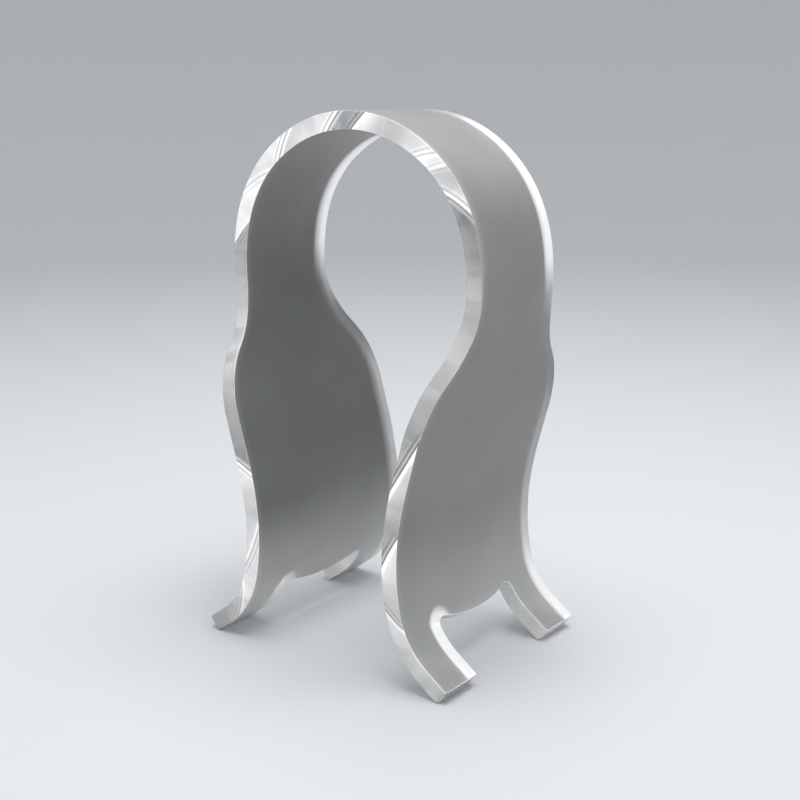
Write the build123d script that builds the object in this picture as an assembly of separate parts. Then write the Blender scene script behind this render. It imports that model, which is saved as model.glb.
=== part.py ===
from build123d import *
import math
import os

os.makedirs("parts", exist_ok=True)

# A headphone stand bent from one acrylic sheet: a horseshoe arch whose two legs end in two feet each.
# Millimetres. +Z is up, the legs stand apart along X, and the sheet's width runs along Y.

# Sheet
sheet_thickness = 8.0
band_width = 57.5           # over the dome, where the headband rests
leg_width = 108.0
shoulder_start = 112.0      # along the sheet from the crown, where the band begins to widen
shoulder_end = 177.0        # where it has the leg's full width

# Half of the sheet's middle line, from the crown down the leg on +X. A bend is its radius and its
# turn in degrees, negative towards the inside of the arch. A straight stretch is its length and no turn.
crown = (70.5, -38.5)
haunch = (60.5, -38.0)
waist = (83.5, -29.5)
leg = (63.6, 0.0)
calf = (174.0, 7.0)
ankle = (108.0, 20.0)
instep = (41.5, 43.0)
toe = (12.5, 0.0)
stretches = [crown, haunch, waist, leg, calf, ankle, instep, toe]

# Feet
foot_width = 24.4
cutout_top = 262.5          # along the sheet from the crown, where the gap between two feet begins
cutout_bulge = 6.0          # how far the gap's rounded top edge dips in the middle
cutout_corner_radius = 4.0
toe_corner_radius = 1.5

# Anti-slip pads, under small flats ground on the lower edge of each foot
flat_width = 2.4
pad_thickness = 0.5
pad_width = 2.0
pad_length = 20.0
pad_end_radius = 0.9

# Working sizes
half_thickness = sheet_thickness / 2
half_band = band_width / 2
half_leg = leg_width / 2
half_gap = half_leg - foot_width
cutter_reach = 160.0        # longer than any distance that a cutter has to cross


def run_length(stretch):
    """Length of a stretch along the sheet's middle line."""
    size, turn = stretch
    return size * math.radians(abs(turn)) if turn else size


def sheet_line(offset, top):
    """Edges of the line that runs a given offset outside the middle line, from the crown to the toe."""
    point, tangent, edges = Vector(0, top + offset), Vector(1, 0), []
    for size, turn in stretches:
        if turn:
            radius = size + offset if turn < 0 else size - offset
            edges.append(JernArc(point, tangent, radius, turn))
        else:
            edges.append(Line(point, point + tangent * size))
        point, tangent = edges[-1] @ 1, edges[-1] % 1
    return edges


def sheet_plane(distance, top):
    """Plane on the middle line at a distance from the crown: its z points out, its y up the sheet."""
    passed = 0.0
    for stretch, edge in zip(stretches, sheet_line(0, top)):
        if distance <= passed + run_length(stretch):
            share = (distance - passed) / run_length(stretch)
            point, tangent = edge @ share, edge % share
            return Plane(origin=(point.X, 0, point.Y), x_dir=(0, 1, 0), z_dir=(-tangent.Y, 0, tangent.X))
        passed += run_length(stretch)
    raise ValueError("past the toe")


def shoulder_cutter(top):
    """What leaves the sheet in front of and behind the band, above the full width of the leg."""
    plane = sheet_plane(shoulder_end, top)
    rise, widening = shoulder_end - shoulder_start, half_leg - half_band
    radius = (rise**2 + widening**2) / (4 * widening)
    turn = 2 * math.degrees(math.atan(widening / rise))
    lower = JernArc((half_leg, 0), (0, 1), radius, turn)
    upper = JernArc(lower @ 1, lower % 1, radius, -turn)
    outer_corners = [(half_band, cutter_reach), (leg_width, cutter_reach), (leg_width, 0), (half_leg, 0)]
    side = make_face([lower, upper, Polyline(upper @ 1, *outer_corners)])
    return extrude(plane * (side + mirror(side, Plane.YZ)), cutter_reach, both=True)


def cutout_cutter(top):
    """The gap between the front and the rear foot, with a top edge that dips in the middle."""
    plane = sheet_plane(cutout_top, top)
    edge = ThreePointArc((-half_gap, 0), (0, -cutout_bulge), (half_gap, 0))
    rest = Polyline((half_gap, 0), (half_gap, -cutter_reach), (-half_gap, -cutter_reach), (-half_gap, 0))
    gap = make_face([edge, rest])
    gap = fillet(gap.vertices().sort_by(Axis.Y)[-2:], cutout_corner_radius)
    return extrude(plane * gap, cutter_reach / 2, both=True)


def make_body(top):
    """The bent sheet, made as the half on +X and mirrored."""
    outer, inner = sheet_line(half_thickness, top), sheet_line(-half_thickness, top)
    crown_end = Line(inner[0] @ 0, outer[0] @ 0)
    toe_end = Line(outer[-1] @ 1, inner[-1] @ 1)
    profile = Plane.XZ * make_face([crown_end, *outer, toe_end, *inner])
    half = extrude(profile, half_leg, both=True)
    half -= shoulder_cutter(top)
    half -= cutout_cutter(top)
    toe_faces = half.faces().filter_by(lambda face: face.normal_at().dot(toe_heading) > 0.999)
    corners = [edge for edge in toe_faces.edges() if abs(edge.length - sheet_thickness) < 0.01]
    half = fillet(corners, toe_corner_radius)
    half -= Pos(0, 0, pad_thickness) * Box(
        4 * cutter_reach, 4 * half_leg, cutter_reach, align=(Align.CENTER, Align.CENTER, Align.MAX)
    )
    return half + mirror(half, Plane.YZ)


def make_pad():
    """One pad, with its lower face at z = 0."""
    outline = RectangleRounded(pad_width, pad_length, pad_end_radius)
    return extrude(outline, pad_thickness)


# The toe's slope sets how much the flat takes off the lower edge, and so where the crown stands.
slope = math.radians(-sum(turn for size, turn in stretches))
toe_heading = Vector(math.cos(slope), 0, -math.sin(slope))
flat_depth = flat_width * math.sin(slope) * math.cos(slope)
lower_edge = sheet_line(-half_thickness, 0)[-1] @ 1
top = pad_thickness - flat_depth - lower_edge.Y

body = make_body(top)
export_step(body, "parts/acrylic_body.step")

# The flat's middle, measured from the lower edge along X: the end face leans out from that edge.
flat_centre = lower_edge.X + flat_width / 2 - flat_depth / math.tan(slope)
for depth, y in (("front", -half_leg + foot_width / 2), ("rear", half_leg - foot_width / 2)):
    for side, x in (("left", -flat_centre), ("right", flat_centre)):
        export_step(Pos(x, y, 0) * make_pad(), f"parts/{depth}_{side}_foot_pad.step")

box = body.bounding_box()
print("height", round(box.max.Z, 2), "width", round(box.size.X, 2), "depth", round(box.size.Y, 2))
print("sheet length along the middle line", round(2 * sum(run_length(s) for s in stretches), 1))
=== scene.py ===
import math

import bmesh
import bpy
import numpy as np
from mathutils import Matrix, Vector
from mathutils.geometry import delaunay_2d_cdt


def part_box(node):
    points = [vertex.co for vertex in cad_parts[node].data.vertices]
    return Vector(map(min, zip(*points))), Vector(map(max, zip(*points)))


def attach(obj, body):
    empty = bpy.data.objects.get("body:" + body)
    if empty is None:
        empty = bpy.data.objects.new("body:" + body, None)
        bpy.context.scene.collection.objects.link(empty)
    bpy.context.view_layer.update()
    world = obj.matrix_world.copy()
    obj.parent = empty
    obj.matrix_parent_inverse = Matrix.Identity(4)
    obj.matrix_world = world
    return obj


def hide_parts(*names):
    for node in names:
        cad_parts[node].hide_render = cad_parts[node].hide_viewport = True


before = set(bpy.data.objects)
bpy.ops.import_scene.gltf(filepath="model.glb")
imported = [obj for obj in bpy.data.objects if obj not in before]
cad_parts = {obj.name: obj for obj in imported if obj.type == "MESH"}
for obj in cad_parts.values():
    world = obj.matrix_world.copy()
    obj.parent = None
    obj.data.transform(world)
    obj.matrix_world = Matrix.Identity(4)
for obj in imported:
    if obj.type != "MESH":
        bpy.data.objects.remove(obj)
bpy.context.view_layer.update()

# Everything below is in metres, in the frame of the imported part: +Z up, legs apart along X.

# The sheet, as it is cut flat. Distances run along its middle line from the crown.
THICKNESS = 0.008
HALF_BAND = 0.02875
HALF_LEG = (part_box("acrylic_body")[1][1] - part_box("acrylic_body")[0][1]) / 2
SHOULDER_START = 0.112
SHOULDER_END = 0.177
FOOT_WIDTH = 0.0244
CUTOUT_TOP = 0.2625
CUTOUT_BULGE = 0.006
CUTOUT_CORNER = 0.004
TOE_CORNER = 0.0015
ARRIS = 0.00035             # rounding of the border between a face and a polished edge

# Bends from the crown down one leg: radius and turn in degrees, or length and no turn for a straight stretch.
STRETCHES = [
    (0.0705, -38.5), (0.0605, -38.0), (0.0835, -29.5), (0.0636, 0.0),
    (0.174, 7.0), (0.108, 20.0), (0.0415, 43.0), (0.0125, 0.0),
]
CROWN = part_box("acrylic_body")[1][2]
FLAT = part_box("acrylic_body")[0][2]

# Light and dark painted in the polished edge, from the left foot over the crown to the right one. They stand
# in for what a clear edge refracts. At each place the level changes along a slanting crease:
# (place along the edge, lean of the crease, level before it, level after it, how clear the crease is).
EDGE_LIGHT = [
    (-0.297, 0.0, 0.58, 0.58, 0.0), (-0.270, 2.2, 0.70, 0.88, 0.3), (-0.241, -2.6, 0.72, 0.80, 0.5),
    (-0.222, 0.0, 0.60, 0.60, 0.0), (-0.200, 0.8, 0.97, 0.30, 1.0), (-0.175, 0.0, 0.42, 0.42, 0.0),
    (-0.145, 0.0, 0.85, 0.85, 0.0), (-0.110, 0.0, 0.50, 0.50, 0.0), (-0.092, -1.6, 0.48, 0.95, 0.2),
    (-0.064, -2.0, 0.97, 0.88, 0.35), (-0.040, 1.5, 0.92, 0.70, 0.8), (-0.008, 1.0, 0.92, 0.38, 1.0),
    (0.006, 0.9, 0.36, 1.00, 0.5), (0.022, 0.0, 0.60, 0.60, 0.0), (0.045, 0.9, 0.97, 0.97, 0.5),
    (0.054, 0.6, 0.97, 0.64, 0.3), (0.072, 1.7, 0.97, 0.30, 0.8), (0.105, 0.0, 0.46, 0.46, 0.0),
    (0.140, 0.0, 0.76, 0.76, 0.0), (0.160, 0.0, 0.50, 0.50, 0.0), (0.185, -3.2, 0.36, 0.95, 0.9),
    (0.213, 0.0, 0.42, 0.42, 0.0), (0.225, -2.0, 0.36, 0.97, 0.8), (0.243, 0.0, 0.70, 0.70, 0.0),
    (0.256, 1.2, 0.48, 0.76, 0.5), (0.297, 0.0, 0.82, 0.82, 0.0),
]
CUTOUT_LEVEL = 0.62         # the edges round the gap between two feet carry no creases
CUTOUT_MARGIN = 0.001       # an edge this close to the gap counts as the gap's
FRONT_LEVELS = (-0.26, 0.72)  # what levels 0 and 1 come to on the front edge
REAR_LEVELS = (0.35, 1.0)   # and on the rear edge, whose painted light is the lighter one
CREASE_SOFTNESS = 0.0002    # half the width over which the level changes
CREASE_REACH = 0.0042       # how far from a crease its fine lines lie
CREASE_STRENGTH = 1.1       # how much those lines change the level
CREASE_LINES = [            # (place across the crease, tone of the line there), where 0.5 changes nothing
    (0.0, 0.5), (0.13, 0.62), (0.22, 0.25), (0.36, 0.75), (0.50, 0.1), (0.58, 0.9), (0.8, 0.5), (1.0, 0.5),
]

# Mesh sizes
OUTLINE_STEP = 0.0010
FACE_STEP = 0.0025
ARRIS_STEPS = 4
SUPPORT = 0.0004            # loops beside the rounding, which keep the faces next to it flat
WALL_STEPS = 6
GRID_GAP = 0.6              # how close the grid inside a face comes to its border, in steps of the grid
MERGE_DISTANCE = 1e-7
SHARP_ANGLE = 32.0          # in degrees
TINY = 1e-9                 # keeps a distance of nothing from being divided by

# Finishes
RIM_HIGHLIGHT_WIDTH = 0.0008           # width of the painted highlight line where a face meets a cut edge
RIM_GLOW = 0.0050           # width of the painted glow along the rim of the frosted faces
FROST_CLEAR = 0.75          # share of light that goes on through the frost, and not back from it
BORDER_CLEAR = 0.45         # the same share on the milky borders
SIDE_RANGE = (-0.003, 0.003)    # offsets between which the inner face's tone turns into the outer one's
OUTSIDE_PAINTED_LIGHT = 0.24         # painted light: how much lighter the frost's tone, from 0 to 1, is on the outer face
CROWN_PAINTED_LIGHT = 0.30           # and how much more painted light there is near the crown
CROWN_PAINTED_LIGHT_RANGE = (0.04, 0.15)     # distances from the crown over which that fades out
FOOT_PAINTED_LIGHT_OUTSIDE = 0.20    # painted light: how much lighter it is at the toes
FOOT_PAINTED_LIGHT_INSIDE = 0.80
FOOT_PAINTED_LIGHT_START = 0.215
FOOT_PAINTED_LIGHT_END = 0.010       # distance from the toe
RIM_GLOW_STRENGTH = 0.10             # how much lighter the painted glow makes it close to the cut edges
ARRIS_PAINTED_HIGHLIGHT = 0.35           # how much lighter the painted highlight makes the rounded borders of the polished edges
GLOW_WIDTH = 0.009          # width of the milky borders that stand in for light gathered in the sheet
GLOW_SOFTNESS = 0.3         # share of that width over which it fades out
GLOW_FADE = 0.030           # distance from the crown over which it changes from one border to the other
FRONT_GLOW = 0.7            # strength on the front borders, of that on the rear ones
GLOW_LEVELS = [             # (distance from the crown, strength)
    (0.0, 0.8), (0.025, 1.0), (0.100, 1.0), (0.122, 0.12),
    (0.165, 0.35), (0.235, 0.55), (0.265, 1.0), (0.297, 1.0),
]
EDGE_CLEAR = 0.52           # share of light that passes the polished edges
SILICONE_CLEAR = 0.7
ACRYLIC_INDEX = 1.49        # of refraction
SILICONE_INDEX = 1.41
NOISE_RANGE = (0.3, 0.7)    # nearly all of a noise pattern lies between these
FROST_CLOUDS, FROST_GRAIN = 28.0, 2600.0        # noise scales, for positions in metres
SILICONE_CLOUDS, SILICONE_GRAIN = 400.0, 4000.0
EDGE_STREAKS = (120.0, 40.0, 60.0)              # along the sheet, across it and through it
ACRYLIC_RELIEF = 0.00006    # height of the fine grain
SILICONE_RELIEF = 0.00003
FROST_DEEP = (0.12, 0.124, 0.128)
FROST_MIDDLE = (0.42, 0.425, 0.43)
# white that the painted glow and the painted highlight lines reach
FROST_GLOW_WHITE = (0.97, 0.975, 0.98)
SILICONE_DEEP = (0.80, 0.82, 0.83)
SILICONE_MILKY = (0.90, 0.91, 0.92)
# painted dark, middle and light of the polished edges
EDGE_DARK = (0.10, 0.105, 0.11)
EDGE_MIDDLE = (0.45, 0.455, 0.46)
EDGE_LIGHT_COLOUR = (1.0, 1.0, 1.0)

# Studio
FLOOR_RADIUS = 1.5
COVE_RADIUS = 0.9
WALL_TOP = 1.3
COVE_STEPS = 16
COVE_SIDES = 96
FLOOR_COLOUR = (0.60, 0.61, 0.62, 1)
SKY_COLOUR = (0.78, 0.79, 0.80, 1)

# Camera, with its angles in degrees and its lens and sensor in millimetres
CAMERA_AZIMUTH, CAMERA_ELEVATION, CAMERA_ROLL = 37.42, 13.31, -0.31
CAMERA_TARGET = (0.0062, 0.0, 0.465 * CROWN)
CAMERA_DISTANCE = 2.451 * CROWN
CAMERA_LENS, CAMERA_SENSOR = 58.45, 36.0
CAMERA_CLIP = 0.01


def bend_table():
    """Start of each stretch (distance, x, z, heading, then the stretch), and the length of them all."""
    distance, x, z, heading, rows = 0.0, 0.0, CROWN - THICKNESS / 2, 0.0, []
    for size, turn in STRETCHES:
        rows.append((distance, x, z, heading, size, turn))
        if turn:
            side = math.copysign(1.0, turn)
            after = heading + math.radians(turn)
            x += side * size * (math.sin(after) - math.sin(heading))
            z -= side * size * (math.cos(after) - math.cos(heading))
            distance += size * abs(math.radians(turn))
            heading = after
        else:
            x += size * math.cos(heading)
            z += size * math.sin(heading)
            distance += size
    return rows, distance


BENDS, HALF_LENGTH = bend_table()


def bent(points):
    """Places (distance, y, offset) points of the flat sheet in space. Offset is outwards from its middle."""
    points = np.asarray(points, dtype=float)
    along, side = np.abs(points[:, 0]), np.sign(points[:, 0])
    x, z, heading = np.zeros(len(points)), np.zeros(len(points)), np.zeros(len(points))
    for start, x0, z0, heading0, size, turn in BENDS:
        here = along >= start
        run = along[here] - start
        if turn:
            sign = math.copysign(1.0, turn)
            now = heading0 + sign * run / size
            x[here] = x0 + sign * size * (np.sin(now) - math.sin(heading0))
            z[here] = z0 - sign * size * (np.cos(now) - math.cos(heading0))
            heading[here] = now
        else:
            x[here] = x0 + run * math.cos(heading0)
            z[here] = z0 + run * math.sin(heading0)
            heading[here] = heading0
    offset = points[:, 2]
    x -= offset * np.sin(heading)
    z += offset * np.cos(heading)
    return np.stack([np.where(side < 0, -x, x), points[:, 1], z], axis=1)


def arc(centre, radius, start, end):
    """Points of an arc in the flat sheet, from one angle to another in radians, without its last point."""
    count = max(3, math.ceil(abs(end - start) * radius / OUTLINE_STEP))
    angles = start + (end - start) * np.arange(count) / count
    return [(centre[0] + radius * math.cos(a), centre[1] + radius * math.sin(a)) for a in angles]


def straight(start, end):
    """Points of a straight cut, without its last point."""
    count = max(1, math.ceil(math.dist(start, end) / OUTLINE_STEP))
    steps = np.arange(count)[:, None] / count
    return [tuple(p) for p in np.asarray(start) + (np.asarray(end) - np.asarray(start)) * steps]


def quarter_outline():
    """The cut edge of a quarter of the flat sheet, from the crown's rear edge to the middle of the gap."""
    rise, widening = SHOULDER_END - SHOULDER_START, HALF_LEG - HALF_BAND
    radius = (rise**2 + widening**2) / (4 * widening)
    turn = 2 * math.atan(widening / rise)
    up, down = math.pi / 2, -math.pi / 2
    points = straight((0.0, HALF_BAND), (SHOULDER_START, HALF_BAND))
    points += arc((SHOULDER_START, HALF_BAND + radius), radius, down, down + turn)
    points += arc((SHOULDER_END, HALF_LEG - radius), radius, up + turn, up)
    toe, gap = HALF_LENGTH, HALF_LEG - FOOT_WIDTH
    points += straight((SHOULDER_END, HALF_LEG), (toe - TOE_CORNER, HALF_LEG))
    points += arc((toe - TOE_CORNER, HALF_LEG - TOE_CORNER), TOE_CORNER, up, 0.0)
    points += straight((toe, HALF_LEG - TOE_CORNER), (toe, gap + TOE_CORNER))
    points += arc((toe - TOE_CORNER, gap + TOE_CORNER), TOE_CORNER, 0.0, down)
    bulge_radius = (gap**2 + CUTOUT_BULGE**2) / (2 * CUTOUT_BULGE)
    bulge = CUTOUT_TOP + CUTOUT_BULGE - bulge_radius
    corner_y = gap - CUTOUT_CORNER
    corner = bulge + math.sqrt((bulge_radius + CUTOUT_CORNER) ** 2 - corner_y**2)
    meets = math.atan2(corner_y, corner - bulge)
    points += straight((toe - TOE_CORNER, gap), (corner, gap))
    points += arc((corner, corner_y), CUTOUT_CORNER, up, meets + math.pi)
    points += arc((bulge, 0.0), bulge_radius, meets, 0.0)
    return points + [(bulge + bulge_radius, 0.0)]


def flat_outline():
    """The whole cut edge of the flat sheet as one closed loop."""
    rear_right = quarter_outline()
    right = rear_right[:-1] + [(s, -y) for s, y in rear_right[::-1]]
    left = [(-s, y) for s, y in right[::-1]]
    return np.array(right[:-1] + left[:-1])


def outline_normals(outline):
    """Outward direction at each point of the loop, which runs clockwise."""
    ahead = np.roll(outline, -1, axis=0) - outline
    behind = outline - np.roll(outline, 1, axis=0)
    ahead /= np.linalg.norm(ahead, axis=1)[:, None]
    behind /= np.linalg.norm(behind, axis=1)[:, None]
    tangent = ahead + behind
    tangent /= np.linalg.norm(tangent, axis=1)[:, None]
    return np.stack([-tangent[:, 1], tangent[:, 0]], axis=1)


def inside(points, outline):
    """Which points lie inside the loop."""
    x, y = points[:, 0], points[:, 1]
    result = np.zeros(len(points), dtype=bool)
    for (x0, y0), (x1, y1) in zip(outline, np.roll(outline, -1, axis=0)):
        if y0 != y1:
            crosses = ((y0 > y) != (y1 > y)) & (x < (x1 - x0) * (y - y0) / (y1 - y0) + x0)
            result ^= crosses
    return result


def face_fill(border):
    """Points and triangles that fill the loop: its own points first, then a grid inside it."""
    ranges = [np.arange(low, high, FACE_STEP) for low, high in zip(border.min(axis=0), border.max(axis=0))]
    grid = np.stack(np.meshgrid(*ranges, indexing="ij"), axis=-1).reshape(-1, 2)
    grid = grid[inside(grid, border)]
    gaps = np.full(len(grid), np.inf)
    for point in border:
        gaps = np.minimum(gaps, np.hypot(*(grid - point).T))
    grid = grid[gaps > GRID_GAP * FACE_STEP]
    points = np.concatenate([border, grid])
    count = len(border)
    loop = [(i, (i + 1) % count) for i in range(count)]
    filled = delaunay_2d_cdt([Vector(p) for p in points], loop, [list(range(count))], 1, MERGE_DISTANCE)
    return np.array([tuple(p) for p in filled[0]]), [tuple(f) for f in filled[2]]


def edge_rings():
    """(inset, offset) of each loop round the cut edge, from the outer face to the inner one."""
    half = THICKNESS / 2
    upper = [(ARRIS + SUPPORT, half)]
    for step in range(ARRIS_STEPS + 1):
        angle = math.pi / 2 * step / ARRIS_STEPS
        upper.append((ARRIS * (1 - math.sin(angle)), half - ARRIS * (1 - math.cos(angle))))
    wall_top = half - ARRIS - SUPPORT
    wall = [(0.0, wall_top * (1 - 2 * step / WALL_STEPS)) for step in range(WALL_STEPS + 1)]
    return upper + wall + [(inset, -offset) for inset, offset in upper[::-1]]


def sheet_mesh():
    """The bent sheet as a closed mesh: frosted faces in slot 0, polished edges in slot 1."""
    outline = flat_outline()
    normals = outline_normals(outline)
    rings = edge_rings()
    border = outline - normals * rings[0][0]
    fill, triangles = face_fill(border)
    count = len(outline)
    flat = [np.column_stack([outline - normals * inset, np.full(count, offset)]) for inset, offset in rings]
    inner_points = fill[count:]
    half = THICKNESS / 2
    flat.append(np.column_stack([inner_points, np.full(len(inner_points), half)]))
    flat.append(np.column_stack([inner_points, np.full(len(inner_points), -half)]))
    flat = np.concatenate(flat)

    last_ring = (len(rings) - 1) * count
    outer_start = len(rings) * count
    inner_start = outer_start + len(inner_points)
    faces, slots = [], []
    for a, b, c in triangles:
        outer = [i if i < count else outer_start + i - count for i in (a, b, c)]
        inner = [last_ring + i if i < count else inner_start + i - count for i in (c, b, a)]
        faces += [outer, inner]
        slots += [0, 0]
    for ring in range(len(rings) - 1):
        for i in range(count):
            j = (i + 1) % count
            first, second = ring * count, (ring + 1) * count
            faces.append([first + i, first + j, second + j, second + i])
            slots.append(int(0 < ring < len(rings) - 2))
    mesh = bpy.data.meshes.new("bent_sheet")
    mesh.from_pydata(bent(flat).tolist(), [], faces)
    mesh.polygons.foreach_set("material_index", slots)
    place = mesh.attributes.new("sheet", "FLOAT_VECTOR", "POINT")
    place.data.foreach_set("vector", flat.astype(np.float32).ravel())
    rim = mesh.attributes.new("rim", "FLOAT", "POINT")
    rim.data.foreach_set("value", rim_distance(flat[:, :2], outline))
    glow = mesh.attributes.new("glow", "FLOAT", "POINT")
    glow.data.foreach_set("value", border_glow(flat, outline, normals))
    glints = mesh.attributes.new("glints", "FLOAT_COLOR", "CORNER")
    glints.data.foreach_set("color", edge_glints(flat, faces).ravel())
    return mesh


def rim_distance(points, outline):
    """Distance in the flat sheet from each point to the nearest cut edge."""
    nearest = np.full(len(points), np.inf)
    for corner in outline:
        nearest = np.minimum(nearest, np.hypot(*(points - corner).T))
    return nearest.astype(np.float32)


def border_glow(flat, outline, normals):
    """How milky the frost is painted beside the cut edges, in place of light gathered in the sheet.

    It is milky on the rear borders inside the left leg and outside the right leg. The front borders inside
    the right leg and outside the left leg have the same with less strength.
    """
    rear, front = np.zeros(len(flat)), np.zeros(len(flat))
    for corner, heading in zip(outline, normals[:, 1]):
        gaps = np.hypot(*(flat[:, :2] - corner).T)
        share = np.clip((GLOW_WIDTH - gaps) / (GLOW_SOFTNESS * GLOW_WIDTH), 0, 1)
        share = share**2 * (3 - 2 * share)
        rear = np.maximum(rear, share * heading)
        front = np.maximum(front, -share * heading)
    turned = np.clip(flat[:, 0] * np.sign(flat[:, 2]) / GLOW_FADE, -1, 1)
    places, levels = np.array(GLOW_LEVELS).T
    glow = np.where(turned > 0, rear * turned, -FRONT_GLOW * front * turned)
    glow *= np.interp(np.abs(flat[:, 0]), places, levels)
    return glow.astype(np.float32)


def edge_glints(flat, faces):
    """For each corner of each face: how far past a crease it is, how clear that is, and the levels beside it.

    It is the crease nearest to the middle of the face, so that each face has one. Between two creases the
    level goes evenly from the one after the first to the one before the second.
    """
    sizes = np.array([len(face) for face in faces])
    corners = flat[np.concatenate(faces)]
    at, lean, before, after, clear = np.array(EDGE_LIGHT).T
    past = corners[:, :1] - corners[:, 2:] * lean - at
    middles = np.add.reduceat(past, np.cumsum(sizes) - sizes, axis=0) / sizes[:, None]
    near = np.repeat(np.abs(middles).argmin(axis=1), sizes)
    last, row = len(at) - 1, np.arange(len(corners))
    previous, following = np.maximum(near - 1, 0), np.minimum(near + 1, last)
    gap, gap_before, gap_after = past[row, near], past[row, previous], past[row, following]
    share = np.clip(-gap / np.maximum(gap_before - gap, TINY), 0, 1)
    level_before = before[near] + (after[previous] - before[near]) * share
    share = np.clip(gap / np.maximum(gap - gap_after, TINY), 0, 1)
    level_after = after[near] + (before[following] - after[near]) * share
    levels = np.stack([level_before, level_after], axis=1)
    low, high = np.where(corners[:, 1:2] < 0, FRONT_LEVELS, REAR_LEVELS).T[:, :, None]
    levels = low + (high - low) * levels
    rows = np.column_stack([gap / np.hypot(1, lean[near]), clear[near], levels])
    below_top = np.abs(corners[:, 0]) > CUTOUT_TOP - CUTOUT_MARGIN
    between_feet = np.abs(corners[:, 1]) < HALF_LEG - FOOT_WIDTH + CUTOUT_MARGIN
    rows[below_top & between_feet, 1:] = (0.0, CUTOUT_LEVEL, CUTOUT_LEVEL)
    return rows.astype(np.float32)


def grind_flats(mesh):
    """Grinds the narrow level flats on the feet's lower edges, where the pads are stuck on."""
    work = bmesh.new()
    work.from_mesh(mesh)
    geometry = work.verts[:] + work.edges[:] + work.faces[:]
    cut = bmesh.ops.bisect_plane(
        work, geom=geometry, plane_co=(0, 0, FLAT), plane_no=(0, 0, 1), clear_inner=True, dist=MERGE_DISTANCE
    )
    loops = [e for e in cut["geom_cut"] if isinstance(e, bmesh.types.BMEdge)]
    for face in bmesh.ops.contextual_create(work, geom=loops)["faces"]:
        face.material_index = 1
    bmesh.ops.recalc_face_normals(work, faces=work.faces[:])
    work.to_mesh(mesh)
    work.free()


def principled(name, **values):
    """A material with one Principled shader, and the values set on its sockets."""
    material = bpy.data.materials.new(name)
    material.use_nodes = True
    shader = material.node_tree.nodes["Principled BSDF"]
    for socket, value in values.items():
        shader.inputs[socket.replace("_", " ")].default_value = value
    return material, shader


def node(tree, kind, inputs=(), **settings):
    """Adds a shader node. An input is a value, or another node's output to link."""
    made = tree.nodes.new("ShaderNode" + kind)
    for name, value in settings.items():
        setattr(made, name, value)
    for socket, value in dict(inputs).items():
        if isinstance(value, bpy.types.NodeSocket):
            tree.links.new(value, made.inputs[socket])
        else:
            made.inputs[socket].default_value = value
    return made


def calculate(tree, operation, first, second):
    return node(tree, "Math", {0: first, 1: second}, operation=operation).outputs[0]


def rescale(tree, value, low, high, to_low=0.0, to_high=1.0, steps="SMOOTHSTEP"):
    inputs = {"Value": value, "From Min": low, "From Max": high, "To Min": to_low, "To Max": to_high}
    return node(tree, "MapRange", inputs, interpolation_type=steps).outputs["Result"]


def noise(tree, vector, scale, detail=2.0):
    inputs = {"Vector": vector, "Scale": scale, "Detail": detail}
    return node(tree, "TexNoise", inputs).outputs["Fac"]


def spread(tree, pattern, low, high):
    """A noise pattern, stretched to run from low to high."""
    return rescale(tree, pattern, *NOISE_RANGE, low, high)


def attribute(tree, name, output):
    """What the mesh keeps under a name."""
    return node(tree, "Attribute", attribute_name=name).outputs[output]


def colour_ramp(tree, value, stops, steps="LINEAR"):
    """A colour ramp with (position, colour) stops."""
    ramp = node(tree, "ValToRGB", {"Fac": value})
    ramp.color_ramp.interpolation = steps
    elements = ramp.color_ramp.elements
    for stop in stops[2:]:
        elements.new(stop[0])
    for element, (position, colour) in zip(elements, stops):
        element.position, element.color = position, (*colour, 1)
    return ramp.outputs["Color"]


def bump(tree, shader, height, distance, strength=1.0):
    inputs = {"Height": height, "Distance": distance, "Strength": strength}
    tree.links.new(node(tree, "Bump", inputs).outputs["Normal"], shader.inputs["Normal"])


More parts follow.
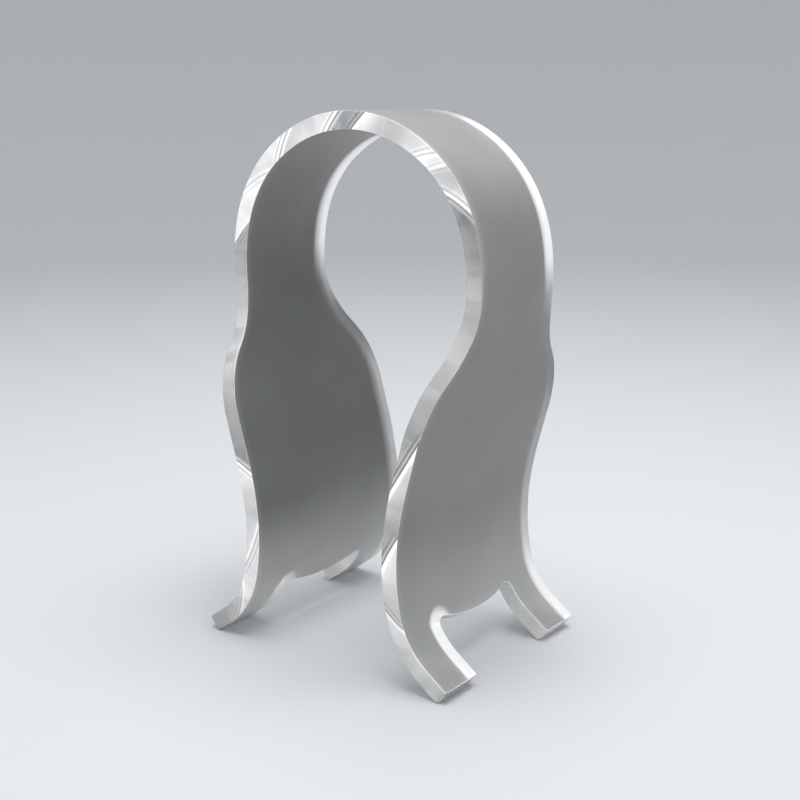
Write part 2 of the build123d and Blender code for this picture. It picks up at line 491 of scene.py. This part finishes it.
def frosted_material():
    """The sheet's faces: frosted grain, a little cloudy, painted lighter outside, at the feet and at the
    borders.
    """
    material, shader = principled("frosted_acrylic", IOR=ACRYLIC_INDEX)
    tree = material.node_tree
    place = attribute(tree, "sheet", "Vector")
    rim = attribute(tree, "rim", "Fac")
    axes = node(tree, "SeparateXYZ", {"Vector": place}).outputs
    along = calculate(tree, "ABSOLUTE", axes["X"], 0.0)
    clouds = noise(tree, place, FROST_CLOUDS, 3.0)
    grain = noise(tree, place, FROST_GRAIN, 3.0)
    outside = rescale(tree, axes["Z"], *SIDE_RANGE)
    # painted light, lighter on the outer face and more so near the crown
    tone = rescale(tree, along, *CROWN_PAINTED_LIGHT_RANGE, OUTSIDE_PAINTED_LIGHT + CROWN_PAINTED_LIGHT, OUTSIDE_PAINTED_LIGHT)
    tone = calculate(tree, "MULTIPLY", tone, outside)
    # painted light, lighter towards the toes and most on the inner face
    foot = rescale(tree, along, FOOT_PAINTED_LIGHT_START, HALF_LENGTH - FOOT_PAINTED_LIGHT_END)
    foot_painted_light = rescale(tree, outside, 0.0, 1.0, FOOT_PAINTED_LIGHT_INSIDE, FOOT_PAINTED_LIGHT_OUTSIDE)
    tone = calculate(tree, "ADD", tone, calculate(tree, "MULTIPLY", foot, foot_painted_light))
    # painted glow close to the cut edges
    tone = calculate(tree, "ADD", tone, rescale(tree, rim, 0.0, RIM_GLOW, RIM_GLOW_STRENGTH, 0.0))
    # a painted highlight line along the border with the cut edges
    tone = calculate(tree, "MAXIMUM", tone, rescale(tree, rim, 0.0, RIM_HIGHLIGHT_WIDTH, 1.0, 0.0))
    glow = attribute(tree, "glow", "Fac")
    tone = calculate(tree, "MAXIMUM", tone, glow)
    passing = rescale(tree, glow, 0.0, 1.0, FROST_CLEAR, BORDER_CLEAR)
    tree.links.new(passing, shader.inputs["Transmission Weight"])
    tone = calculate(tree, "ADD", tone, spread(tree, clouds, -0.025, 0.035))
    tone = calculate(tree, "ADD", tone, spread(tree, grain, -0.02, 0.02))
    colour = colour_ramp(tree, tone, [(0.0, FROST_DEEP), (0.45, FROST_MIDDLE), (1.0, FROST_GLOW_WHITE)])
    tree.links.new(colour, shader.inputs["Base Color"])
    rough = calculate(tree, "ADD", spread(tree, clouds, 0.29, 0.35), spread(tree, grain, 0.0, 0.06))
    tree.links.new(rough, shader.inputs["Roughness"])
    bump(tree, shader, grain, ACRYLIC_RELIEF, 0.5)
    return material


def polished_material():
    """The cut edges: clear and glossy, with painted light and dark that change along slanting creases."""
    material, shader = principled("polished_acrylic", IOR=ACRYLIC_INDEX, Transmission_Weight=EDGE_CLEAR)
    tree = material.node_tree
    place = attribute(tree, "sheet", "Vector")
    glints = node(tree, "Attribute", attribute_name="glints").outputs
    gap, clear, before = node(tree, "SeparateColor", {"Color": glints["Color"]}).outputs
    passed = rescale(tree, gap, -CREASE_SOFTNESS, CREASE_SOFTNESS)
    sides = {"Factor": passed, "A": before, "B": glints["Alpha"]}
    level = node(tree, "Mix", sides, data_type="FLOAT").outputs["Result"]
    across = rescale(tree, gap, -CREASE_REACH, CREASE_REACH, steps="LINEAR")
    lines = colour_ramp(tree, across, [(at, (tone,) * 3) for at, tone in CREASE_LINES], "EASE")
    strength = calculate(tree, "MULTIPLY", clear, CREASE_STRENGTH)
    lines = calculate(tree, "MULTIPLY", calculate(tree, "SUBTRACT", lines, 0.5), strength)
    level = calculate(tree, "ADD", level, lines)
    rim = attribute(tree, "rim", "Fac")
    # painted highlight on the rounded borders of the polished edges
    level = calculate(tree, "ADD", level, rescale(tree, rim, 0.0, ARRIS / 2, 0.0, ARRIS_PAINTED_HIGHLIGHT))
    streaks = node(tree, "Mapping", {"Vector": place, "Scale": EDGE_STREAKS}).outputs["Vector"]
    fine = noise(tree, streaks, 1.0, 2.0)
    level = calculate(tree, "ADD", level, spread(tree, fine, -0.05, 0.05))
    colour = colour_ramp(tree, level, [(0.0, EDGE_DARK), (0.5, EDGE_MIDDLE), (1.0, EDGE_LIGHT_COLOUR)])
    tree.links.new(colour, shader.inputs["Base Color"])
    tree.links.new(spread(tree, fine, 0.03, 0.07), shader.inputs["Roughness"])
    bump(tree, shader, fine, ACRYLIC_RELIEF, 0.3)
    return material


def silicone_material():
    """The pads: clear silicone, faintly milky and matt, with a fine cast grain."""
    material, shader = principled("clear_silicone", IOR=SILICONE_INDEX, Transmission_Weight=SILICONE_CLEAR)
    tree = material.node_tree
    place = node(tree, "TexCoord").outputs["Object"]
    milk = noise(tree, place, SILICONE_CLOUDS)
    grain = noise(tree, place, SILICONE_GRAIN)
    colour = colour_ramp(tree, milk, list(zip(NOISE_RANGE, (SILICONE_DEEP, SILICONE_MILKY))))
    tree.links.new(colour, shader.inputs["Base Color"])
    tree.links.new(spread(tree, grain, 0.35, 0.5), shader.inputs["Roughness"])
    bump(tree, shader, grain, SILICONE_RELIEF, 0.4)
    return material


def make_sheet():
    """The visible sheet, in place of the CAD body."""
    mesh = sheet_mesh()
    grind_flats(mesh)
    mesh.materials.append(frosted_material())
    mesh.materials.append(polished_material())
    mesh.shade_smooth()
    mesh.set_sharp_from_angle(angle=math.radians(SHARP_ANGLE))
    sheet = bpy.data.objects.new("bent_sheet", mesh)
    bpy.context.collection.objects.link(sheet)
    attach(sheet, "root")
    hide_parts("acrylic_body")
    return sheet


def soft_light(name, place, aim, size, power, only=(), seen_through=True):
    """A square softbox that faces a point.

    With only, it lights nothing but those pieces. Without seen_through, it isn't seen through clear pieces.
    """
    light = bpy.data.lights.new(name, "AREA")
    light.shape, light.size, light.energy = "SQUARE", size, power
    lamp = bpy.data.objects.new(name, light)
    lamp.location = place
    lamp.rotation_euler = (Vector(aim) - Vector(place)).to_track_quat("-Z", "Y").to_euler()
    lamp.visible_camera = False
    lamp.visible_transmission = seen_through
    bpy.context.collection.objects.link(lamp)
    if only:
        receivers = bpy.data.collections.new(name + "_receivers")
        for piece in only:
            receivers.objects.link(piece)
        lamp.light_linking.receiver_collection = receivers


def backdrop_mesh():
    """A round floor whose rim curves up into a wall on all sides."""
    profile = [(0.0, 0.0), (FLOOR_RADIUS, 0.0)]
    for step in range(1, COVE_STEPS + 1):
        angle = math.pi / 2 * step / COVE_STEPS
        profile.append((FLOOR_RADIUS + COVE_RADIUS * math.sin(angle), COVE_RADIUS * (1 - math.cos(angle))))
    profile.append((FLOOR_RADIUS + COVE_RADIUS, WALL_TOP))
    points, faces = [], []
    for radius, height in profile[1:]:
        for step in range(COVE_SIDES):
            angle = 2 * math.pi * step / COVE_SIDES
            points.append((radius * math.cos(angle), radius * math.sin(angle), height))
    faces.append(list(range(COVE_SIDES)))
    for ring in range(len(profile) - 2):
        for i in range(COVE_SIDES):
            j = (i + 1) % COVE_SIDES
            low, high = ring * COVE_SIDES, (ring + 1) * COVE_SIDES
            faces.append([low + i, high + i, high + j, low + j])
    mesh = bpy.data.meshes.new("backdrop")
    mesh.from_pydata(points, [], faces)
    mesh.shade_smooth()
    return mesh


def make_studio(stand):
    """A plain pale floor with a seamless wall, and soft light."""
    mesh = backdrop_mesh()
    paint = principled("backdrop_paint", Base_Color=FLOOR_COLOUR, Roughness=0.9, Specular_IOR_Level=0.0)[0]
    mesh.materials.append(paint)
    backdrop = bpy.data.objects.new("backdrop", mesh)
    bpy.context.collection.objects.link(backdrop)
    world = bpy.data.worlds.new("studio")
    world.use_nodes = True
    sky = world.node_tree.nodes["Background"]
    sky.inputs["Color"].default_value = SKY_COLOUR
    sky.inputs["Strength"].default_value = 1.0
    bpy.context.scene.world = world
    bpy.context.scene.view_settings.view_transform = "Standard"
    middle, shoulders, dome = (0, 0, CROWN / 2), (0, 0, 0.14), (0, 0, 0.20)
    soft_light("overhead", (0.1, 0.0, 1.1), middle, 0.8, 10)
    soft_light("front_left", (-0.52, -0.68, 0.42), shoulders, 1.0, 6.5, only=stand)
    soft_light("low_front_left", (-0.30, -0.59, 0.001), (-0.30, -0.59, 1.0), 1.0, 7.5, only=stand)
    soft_light("upper_left", (-0.60, -0.35, 0.95), dome, 0.65, 2.6, only=stand)
    soft_light("front_right", (0.55, -0.75, 0.14), shoulders, 0.7, 5.0, only=stand, seen_through=False)
    soft_light("right_fill", (0.9, -0.3, 0.7), middle, 0.6, 4, only=stand)


def make_camera():
    """The camera at the photograph's viewing angle."""
    azimuth, elevation, roll = (math.radians(a) for a in (CAMERA_AZIMUTH, CAMERA_ELEVATION, CAMERA_ROLL))
    level = math.cos(elevation)
    back = Vector((math.sin(azimuth) * level, -math.cos(azimuth) * level, math.sin(elevation)))
    right = (-back).cross(Vector((0, 0, 1))).normalized()
    up = right.cross(-back)
    across = right * math.cos(roll) + up * math.sin(roll)
    upward = up * math.cos(roll) - right * math.sin(roll)
    camera = bpy.data.cameras.new("camera")
    camera.lens, camera.sensor_width = CAMERA_LENS, CAMERA_SENSOR
    camera.clip_start = CAMERA_CLIP
    holder = bpy.data.objects.new("camera", camera)
    turn = Matrix((across, upward, back)).transposed().to_4x4()
    holder.matrix_world = Matrix.Translation(Vector(CAMERA_TARGET) + back * CAMERA_DISTANCE) @ turn
    bpy.context.collection.objects.link(holder)
    bpy.context.scene.camera = holder


stand = [make_sheet()]
pad_material = silicone_material()
for depth in ("front", "rear"):
    for side in ("left", "right"):
        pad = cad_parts[f"{depth}_{side}_foot_pad"]
        pad.material_slots[0].material = pad_material
        stand.append(pad)
make_studio(stand)
make_camera()
